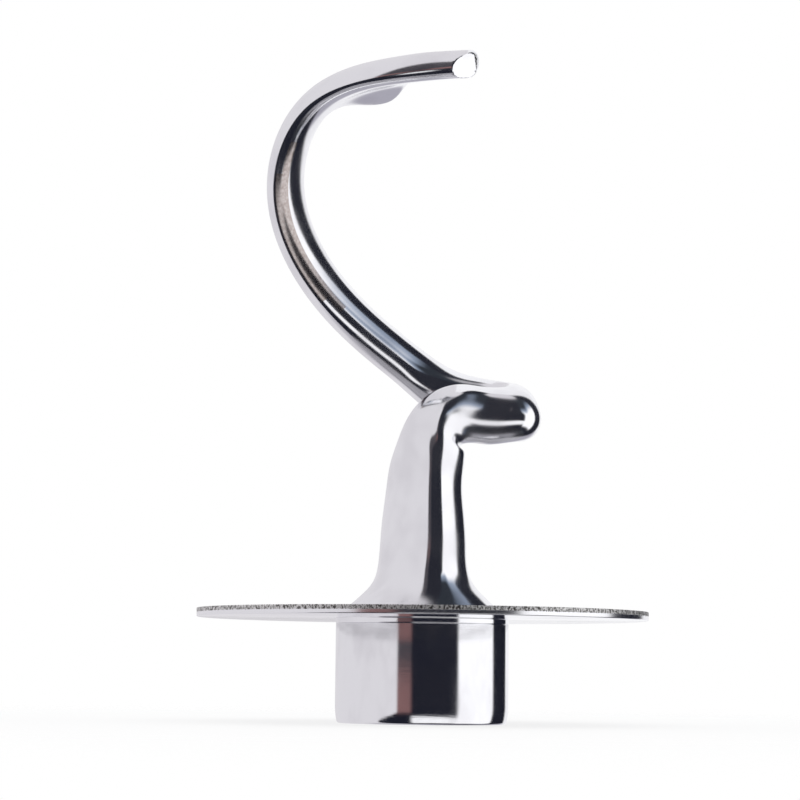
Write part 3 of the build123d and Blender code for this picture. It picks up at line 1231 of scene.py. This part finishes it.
class MakeStudio(bpy.types.Operator):
    """Set up the pale floor, the studio round the part and the camera"""
    bl_idname = "doughhook.make_studio"
    bl_label = "Studio"

    def execute(self, context):
        scene = context.scene
        self.make_floor(scene.doughhook_studio)
        self.make_world(scene, scene.doughhook_studio)
        self.make_camera(scene)
        scene.view_settings.view_transform = "Standard"
        return {"FINISHED"}

    def make_floor(self, colours):
        """A pale round floor that fades into the white studio at its edge."""
        radius, fade_start, fade_end = 0.4, 0.07, 0.3
        nothing_selected()
        bpy.ops.mesh.primitive_circle_add(vertices=96, radius=radius, fill_type="NGON", location=(0, 0, 0))
        floor = bpy.context.object
        floor.name = floor.data.name = "Floor"
        material, nodes = new_material("Pale Floor")
        far = nodes.distance(nodes.place())
        cloth = nodes.add("ShaderNodeBsdfDiffuse", {}, {"Color": (*colours.floor, 1)})
        white = nodes.add("ShaderNodeEmission", {}, {"Color": (1, 1, 1, 1), "Strength": 1.0})
        camera_ray = nodes.add("ShaderNodeLightPath", output="Is Camera Ray")
        seen = nodes.add("ShaderNodeMixShader", {}, {0: camera_ray * 0.8, 1: cloth, 2: white})
        clear = nodes.add("ShaderNodeBsdfTransparent")
        edge = nodes.fade(far, fade_start, fade_end)
        finish_material(nodes, nodes.add("ShaderNodeMixShader", {}, {0: edge, 1: seen, 2: clear}))
        floor.data.materials.append(material)
        floor.visible_glossy = False

    def make_world(self, scene, colours):
        """White where the camera sees it, and the studio's pale cloth and dark room in reflections."""
        scene.world = bpy.data.worlds.new("Studio")
        nodes = Nodes(scene.world)
        x, y, z = nodes.parts(nodes.add("ShaderNodeTexCoord", output="Generated"))
        turn = nodes.maths("ARCTAN2", x, -1 * y) * (180 / pi)
        rise = nodes.maths("ARCSINE", z) * (180 / pi)
        studio = self.around(nodes, colours, turn, rise)
        studio = nodes.mix(nodes.fade(rise, 70, 78), studio, tuple(colours.ceiling))
        reflection = nodes.add("ShaderNodeLightPath", output="Is Glossy Ray")
        reflected = nodes.add("ShaderNodeBackground", {}, {"Color": studio, "Strength": 1.0})
        white = nodes.add("ShaderNodeBackground", {}, {"Color": (1, 1, 1, 1), "Strength": 1.0})
        surface = nodes.add("ShaderNodeMixShader", {}, {0: reflection, 1: white, 2: reflected})
        nodes.add("ShaderNodeOutputWorld", {}, {"Surface": surface})

    def around(self, nodes, colours, turn, rise):
        """What stands round the part, by how far round to the right and how far up it is, in degrees."""
        room = tuple(colours.room)
        wall = nodes.mix(nodes.fade(rise, -42, -60), tuple(colours.wall), tuple(colours.wall_foot))
        wood = nodes.mix(nodes.fade(rise, 2, 7), tuple(colours.wood), tuple(colours.above_wood))
        wood = nodes.mix(nodes.fade(rise, -6, -14), wood, room)
        table = nodes.fade(rise, -13, -18) * nodes.fade(rise, -37, -29)
        front = nodes.mix(table, room, tuple(colours.table))
        level = rise - 14 * nodes.fade(turn, 60, 82)
        lamp = nodes.mix(nodes.fade(level, 14, 32), tuple(colours.lamp), tuple(colours.lamp_rim))
        lamp = nodes.mix(nodes.fade(level, 27, 46), lamp, tuple(colours.above_lamp))
        lamp = nodes.mix(nodes.fade(rise, -36, -46), lamp, room)
        back = nodes.mix(nodes.fade(rise, -10, -22), tuple(colours.back), tuple(colours.back_low))
        wood_edge = turn + 30 * nodes.fade(rise, -8, -22)
        lamp_edge = turn + 12 * nodes.fade(rise, 12, 30)
        seen = nodes.mix(nodes.fade(wood_edge, *WALL_TO_WOOD), wall, wood)
        seen = nodes.mix(nodes.fade(turn, *WOOD_TO_FRONT), seen, front)
        seen = nodes.mix(nodes.fade(lamp_edge, *FRONT_TO_LAMP), seen, lamp)
        seen = nodes.mix(nodes.fade(turn, *LAMP_TO_ROOM), seen, room)
        return nodes.mix(nodes.fade(turn, *ROOM_TO_BACK), seen, back)

    def make_camera(self, scene):
        """The camera a little above the floor, looking slightly up."""
        data = bpy.data.cameras.new("Camera")
        camera = bpy.data.objects.new("Camera", data)
        scene.collection.objects.link(camera)
        data.sensor_width = SENSOR_WIDTH
        data.lens = SENSOR_WIDTH * FOCAL_PIXELS / IMAGE_PIXELS
        data.clip_start, data.clip_end = 0.01, 10
        camera.location = CAMERA_PLACE
        level = Vector((0, cos(CAMERA_UP), sin(CAMERA_UP)))
        forward = Matrix.Rotation(CAMERA_LEFT, 3, "Z") @ level
        lean = Matrix.Rotation(CAMERA_LEAN, 3, "Z").to_quaternion()
        camera.rotation_mode = "QUATERNION"
        camera.rotation_quaternion = forward.to_track_quat("-Z", "Y") @ lean
        scene.camera = camera


class DoughHookPanel(bpy.types.Panel):
    """The part's sizes, finishes and pieces."""
    bl_idname = "VIEW3D_PT_dough_hook"
    bl_label = "Dough Hook"
    bl_space_type = "VIEW_3D"
    bl_region_type = "UI"
    bl_category = "Dough Hook"

    def draw(self, context):
        column = self.layout.column()
        for operator in OPERATORS:
            column.operator(operator.bl_idname)
        for name, kind in SETTINGS.items():
            group = getattr(context.scene, name)
            for key in kind.__annotations__:
                column.prop(group, key)


OPERATORS = (MakeCasting, MakeDisc, MakeStudio)
SETTINGS = {
    "doughhook_hub": HubSizes,
    "doughhook_disc": DiscSizes,
    "doughhook_bar": BarSizes,
    "doughhook_finishes": Finishes,
    "doughhook_studio": StudioColours,
}


def register():
    for name, kind in SETTINGS.items():
        bpy.utils.register_class(kind)
        setattr(bpy.types.Scene, name, bpy.props.PointerProperty(type=kind))
    for kind in (*OPERATORS, DoughHookPanel):
        bpy.utils.register_class(kind)


def unregister():
    for kind in (DoughHookPanel, *reversed(OPERATORS)):
        bpy.utils.unregister_class(kind)
    for name, kind in SETTINGS.items():
        delattr(bpy.types.Scene, name)
        bpy.utils.unregister_class(kind)


def main():
    register()
    bpy.ops.doughhook.make_casting()
    bpy.ops.doughhook.make_disc()
    bpy.ops.doughhook.make_studio()
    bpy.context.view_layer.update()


if __name__ == "__main__":
    main()
